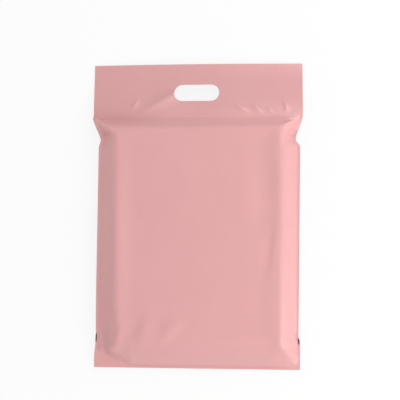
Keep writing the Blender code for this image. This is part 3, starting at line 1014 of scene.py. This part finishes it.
@dataclass(frozen=True)
class FilmShell:
    """The bag's front and back film as one closed shell, welded along its edges."""

    form: BagForm
    film: bpy.types.Material
    name: str = "film_shell"
    front_pitch: float = 0.0021
    back_pitch: float = 0.0045
    sharp_edge: float = math.radians(50)
    slack: Slack = Slack()
    fill_level: float = 0.9
    match_digits: int = 6

    def plans(self) -> tuple[FlatPlan, FlatPlan]:
        """Draws both films flat.

        Returns:
            The front film's fine plan and the back film's coarser one, which share their edges.
        """
        form = self.form
        front, back = FlatPlan(form, self.front_pitch), FlatPlan(form, self.front_pitch)
        for plan in (front, back):
            plan.add_seams()
            plan.add_level(form.header_foot)
        for off in (-1.0, 0.0, 1.0):
            front.add_level(form.seal_depth + off * form.weld_groove_width)
        flap_edge = form.header_foot + form.flap_edge_above_foot
        back.add_level(flap_edge)
        back.add_level(flap_edge + form.flap_thickness)
        front.add_spines()
        back.add_spines()
        front.fill(self.front_pitch)
        back.fill(self.back_pitch)
        return front, back

    def lofted(self) -> bpy.types.Mesh:
        """Lifts the two films off their plans and joins them along the bag's edge and round its hole.

        Returns:
            The closed mesh, with how slack and how creased the film is at each point.
        """
        form, digits = self.form, self.match_digits
        front, back = (plan.triangles() for plan in self.plans())
        front_points, front_faces = front
        back_points, back_faces = back
        front_x, front_y = front_points.T
        back_x, back_y = back_points.T
        low = form.length / 2
        over = np.column_stack([front_x, front_y - low, form.front_height(front_x, front_y)])
        under = np.column_stack([back_x, back_y - low, form.back_height(back_x, back_y)])
        shift = len(over)
        matches = {tuple(np.round(point, digits)): index + shift for index, point in enumerate(back_points)}
        # An edge that no triangle takes the other way lies on the rim.
        edges = {(int(face[turn]), int(face[turn - 2])) for face in front_faces for turn in range(3)}
        rim = sorted(edge for edge in edges if (edge[1], edge[0]) not in edges)
        far = {index: matches[tuple(np.round(front_points[index], digits))] for edge in rim for index in edge}
        walls = [(end, start, far[start], far[end]) for start, end in rim]
        faces = front_faces.tolist() + (back_faces[:, ::-1] + shift).tolist() + walls
        mesh = bpy.data.meshes.new(self.name)
        mesh.from_pydata(np.concatenate([over, under]).tolist(), [], faces)
        mesh.validate()
        x, y = np.concatenate([front_x, back_x]), np.concatenate([front_y, back_y])
        # The back film is held down by the load, and the front film is free to ripple everywhere.
        full = form.fullness(x, y)
        full[:shift] = 0.0
        # The crease attribute sets the paler colour along crease spines, partly whitening and partly a
        # painted highlight.
        for label, values in {"slack": 1.0 - full, "crease": form.creased(x, y)}.items():
            layer = mesh.attributes.new(label, "FLOAT", "POINT")
            layer.data.foreach_set("value", np.ascontiguousarray(values, dtype=np.float32))
        return mesh

    def build(self) -> bpy.types.Object:
        """Builds the shell, gives it its slack, dresses it and ties it to the frame.

        Returns:
            The shell.
        """
        group = NodeGroup("film_slack", self.slack.inputs())
        group.end(self.slack.moved(group, group.source.outputs["Geometry"]), self.film)
        shell = group.applied(self.lofted(), self.name)
        shell.data.shade_smooth()
        shell.data.set_sharp_from_angle(angle=self.sharp_edge)
        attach(shell, BODY)
        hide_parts(NODE)
        report(shell)
        return shell


@dataclass(frozen=True)
class EdgeStrip:
    """A strip that follows one side of the bag: a weld's bead, or dark film where the seam gapes.

    It runs from low to high up the bag, inset from the edge and lifted off the films' middle. A
    tapered strip narrows to nothing at both ends.
    """

    name: str
    form: BagForm
    side: Side
    film: bpy.types.Material
    slot: str
    low: float
    high: float
    width: float
    thickness: float
    inset: float = 0.0
    lift: float = 0.0
    tapered: bool = False
    tip_share: float = 0.05
    pitch: float = 0.0025
    least_steps: int = 4
    rounding: int = 8
    slack: Slack = Slack()

    def path(self) -> bpy.types.Mesh:
        """Draws the strip's middle line.

        Returns:
            The line as a run of edges.
        """
        form, side = self.form, self.side
        steps = max(round((self.high - self.low) / self.pitch), self.least_steps)
        y = np.linspace(self.low, self.high, steps + 1)
        x = side.sign * (form.side_reach(side, y) - self.inset)
        z = form.meeting_height(x, y) + form.folded(x, y, Films.BOTH) + self.lift
        mesh = bpy.data.meshes.new(self.name)
        points = np.column_stack([x, y - form.length / 2, z]).tolist()
        mesh.from_pydata(points, [(index, index + 1) for index in range(len(points) - 1)], [])
        free = mesh.attributes.new("slack", "FLOAT", "POINT")
        free.data.foreach_set("value", np.ones(len(points), dtype=np.float32))
        return mesh

    def sweep(self) -> NodeGroup:
        """Plans how the strip's flattened round section runs along its line.

        Returns:
            The tree that sweeps it.
        """
        inputs = {"Width": self.width, "Thickness": self.thickness, "Pitch": self.pitch}
        group = NodeGroup("edge_strip_sweep", {**inputs, **self.slack.inputs()})
        sockets = group.source.outputs
        lifted = self.slack.moved(group, sockets["Geometry"])
        line = group.add("GeometryNodeMeshToCurve", links={"Mesh": lifted}).outputs["Curve"]
        line = group.add("GeometryNodeSetCurveNormal", {}, {"Curve": line}, mode="Z_UP").outputs["Curve"]
        even = {"Curve": line, "Length": sockets["Pitch"]}
        line = group.add("GeometryNodeResampleCurve", {}, even, mode="LENGTH").outputs["Curve"]
        # A tapered strip's size follows a half circle: 1 in the middle, and tip_share at both tips.
        if self.tapered:
            share = group.add("GeometryNodeSplineParameter").outputs["Factor"]
            far = group.add("ShaderNodeMath", {0: 1.0}, {1: share}, operation="SUBTRACT").outputs[0]
            bulge = group.add("ShaderNodeMath", {}, {0: share, 1: far}, operation="MULTIPLY").outputs[0]
            root = group.add("ShaderNodeMath", {}, {0: bulge}, operation="SQRT").outputs[0]
            size = group.add("ShaderNodeMath", {1: 2.0}, {0: root}, operation="MULTIPLY").outputs[0]
            size = group.add("ShaderNodeMath", {1: self.tip_share}, {0: size}, operation="MAXIMUM").outputs[0]
        else:
            size = group.add("ShaderNodeValue").outputs[0]
            size.default_value = 1.0
        ring = group.add("GeometryNodeCurvePrimitiveCircle", {"Resolution": self.rounding, "Radius": 0.5})
        across = {"X": sockets["Width"], "Y": sockets["Thickness"]}
        section = group.add("ShaderNodeCombineXYZ", {"Z": 1.0}, across).outputs[0]
        shaped = {"Geometry": ring.outputs["Curve"], "Scale": section}
        profile = group.add("GeometryNodeTransform", {}, shaped).outputs["Geometry"]
        parts = {"Curve": line, "Profile Curve": profile, "Scale": size}
        swept = group.add("GeometryNodeCurveToMesh", {"Fill Caps": True}, parts)
        group.end(swept.outputs["Mesh"], self.film)
        return group

    def build(self) -> bpy.types.Object:
        """Builds the strip, dresses it and ties it to the frame.

        Returns:
            The strip.
        """
        strip = self.sweep().applied(self.path(), self.name)
        strip.data.shade_smooth()
        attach(strip, BODY)
        report(strip)
        return strip


@dataclass(frozen=True)
class SideSeams:
    """The two side seams: a weld's bead along each, and dark inner film where each gapes above its ear."""

    form: BagForm
    film: bpy.types.Material
    ply: bpy.types.Material
    end_gap: float = 0.0005
    bead_width: float = 0.0008
    bead_thickness: float = 0.0014
    gape_foot: float = 0.042
    gape_tops: tuple[float, float] = (0.059, 0.054)
    gape_insets: tuple[float, float] = (0.0004, 0.0016)
    gape_width: float = 0.0022
    gape_thickness: float = 0.0006
    gape_lift: float = 0.0009

    def build(self) -> None:
        """Builds both beads, and then both gapes."""
        form = self.form
        sides = (("left", form.left), ("right", form.right))
        bead = (self.end_gap, form.length - self.end_gap, self.bead_width, self.bead_thickness)
        for name, side in sides:
            EdgeStrip(f"{name}_weld_bead", form, side, self.film, "pink_film", *bead).build()
        for (name, side), top, inset in zip(sides, self.gape_tops, self.gape_insets):
            gape = (self.gape_foot, top, self.gape_width, self.gape_thickness, inset, self.gape_lift, True)
            EdgeStrip(f"{name}_seam_gape", form, side, self.ply, "inner_film", *gape).build()


@dataclass(frozen=True)
class WhiteStage:
    """A seamless white floor, which keeps the bag's shadow, and an even white surround."""

    span: float = 8.0
    gap: float = 0.0002
    floor_colour: str = "#F4F4F4"
    white_share: float = 0.86
    dome_level: float = 0.59

    def seen(self, tree: bpy.types.NodeTree) -> bpy.types.NodeSocket:
        """An output that is 1 for rays that show the surround and 0 for those that light the bag.

        Args:
            tree: The node tree.

        Returns:
            The output.
        """
        rays = add_node(tree, "ShaderNodeLightPath").outputs
        seen = rays["Is Camera Ray"]
        for ray in ("Is Glossy Ray", "Is Transmission Ray"):
            either = {0: seen, 1: rays[ray]}
            seen = add_node(tree, "ShaderNodeMath", {}, either, operation="MAXIMUM").outputs[0]
        return seen

    def floor(self, level: float) -> bpy.types.Object:
        """Lays the floor.

        Args:
            level: How high what stands on it begins.

        Returns:
            The floor.
        """
        half = self.span / 2
        mesh = bpy.data.meshes.new("floor")
        corners = [(x * half, y * half, level - self.gap) for x, y in ((-1, -1), (1, -1), (1, 1), (-1, 1))]
        mesh.from_pydata(corners, [], [(0, 1, 2, 3)])
        made = bpy.data.materials.new("matt_white_board")
        tree = emptied(made)
        diffuse = add_node(tree, "ShaderNodeBsdfDiffuse", {"Color": linear(self.floor_colour)})
        glow = add_node(tree, "ShaderNodeEmission", {"Color": WHITE, "Strength": 1.0})
        seen = self.seen(tree)
        share = add_node(tree, "ShaderNodeMath", {1: self.white_share}, {0: seen}, operation="MULTIPLY")
        both = {0: share.outputs[0], 1: diffuse.outputs["BSDF"], 2: glow.outputs["Emission"]}
        mix = add_node(tree, "ShaderNodeMixShader", {}, both)
        add_node(tree, "ShaderNodeOutputMaterial", links={"Surface": mix.outputs["Shader"]})
        mesh.materials.append(made)
        plane = bpy.data.objects.new("floor", mesh)
        bpy.context.scene.collection.objects.link(plane)
        return plane

    def surround(self) -> None:
        """Sets the world: white where it is seen, and a softer level where it lights the bag."""
        world = bpy.data.worlds.new("white_surround")
        bpy.context.scene.world = world
        tree = emptied(world)
        light = add_node(tree, "ShaderNodeBackground", {"Color": WHITE, "Strength": self.dome_level})
        white = add_node(tree, "ShaderNodeBackground", {"Color": WHITE, "Strength": 1.0})
        both = {0: self.seen(tree), 1: light.outputs["Background"], 2: white.outputs["Background"]}
        mix = add_node(tree, "ShaderNodeMixShader", {}, both)
        add_node(tree, "ShaderNodeOutputWorld", links={"Surface": mix.outputs["Shader"]})


@dataclass(frozen=True)
class SoftBox:
    """One soft studio lamp, aimed at the floor under the bag's middle."""

    name: str
    place: tuple[float, float, float]
    size: tuple[float, float]
    power: float

    def build(self) -> bpy.types.Object:
        """Hangs the lamp.

        Returns:
            The lamp.
        """
        lamp = bpy.data.lights.new(self.name, "AREA")
        lamp.shape = "RECTANGLE"
        lamp.size, lamp.size_y = self.size
        lamp.energy = self.power
        hung = bpy.data.objects.new(self.name, lamp)
        hung.location = self.place
        hung.visible_camera = False
        hung.rotation_euler = (-Vector(self.place)).to_track_quat("-Z", "Y").to_euler()
        bpy.context.scene.collection.objects.link(hung)
        return hung


@dataclass(frozen=True)
class DownwardCamera:
    """The camera, straight above the bag and turned a little, so that its right side is nearer."""

    target: tuple[float, float, float] = (0.0055, 0.0272, 0.0230)
    distance: float = 1.577
    yaw: float = math.radians(4.8)
    frame_width: float = 0.6650
    clip: tuple[float, float] = (0.05, 50.0)

    def build(self) -> bpy.types.Object:
        """Hangs the camera and makes it the scene's own.

        Returns:
            The camera.
        """
        lens = bpy.data.cameras.new("camera")
        lens.angle = 2 * math.atan(self.frame_width / 2 / self.distance)
        lens.clip_start, lens.clip_end = self.clip
        hung = bpy.data.objects.new("camera", lens)
        away = Vector((math.sin(self.yaw), 0.0, math.cos(self.yaw)))
        hung.location = Vector(self.target) + self.distance * away
        hung.rotation_euler = (0.0, self.yaw, 0.0)
        bpy.context.scene.collection.objects.link(hung)
        bpy.context.scene.camera = hung
        return hung


def main() -> None:
    """Builds the bag, its stage, its lamps and the camera."""
    logging.basicConfig(level=logging.INFO, format="%(name)s: %(message)s")
    low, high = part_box(NODE)
    form = BagForm(width=high.x - low.x, length=high.y - low.y)
    film, ply = SatinPolyethylene().material(), InnerPly().material()
    FilmShell(form, film).build()
    SideSeams(form, film, ply).build()
    stage = WhiteStage()
    stage.floor(low.z)
    stage.surround()
    for lamp in (
        SoftBox("key_softbox", (1.15, -0.92, 1.15), (1.3, 1.3), 15.4),
        SoftBox("top_softbox", (0.86, 0.62, 0.46), (0.4, 0.4), 1.35),
        SoftBox("sheen_softbox", (0.58, 0.85, 1.3), (0.6, 0.6), 3.7),
        SoftBox("left_strip", (-1.2, 0.15, 0.32), (0.7, 0.3), 0.8),
        SoftBox("right_strip", (0.95, -0.42, 0.28), (0.45, 0.25), 1.0),
    ):
        lamp.build()
    DownwardCamera().build()
    bpy.context.scene.view_settings.view_transform = "Standard"


if __name__ == "__main__":
    main()
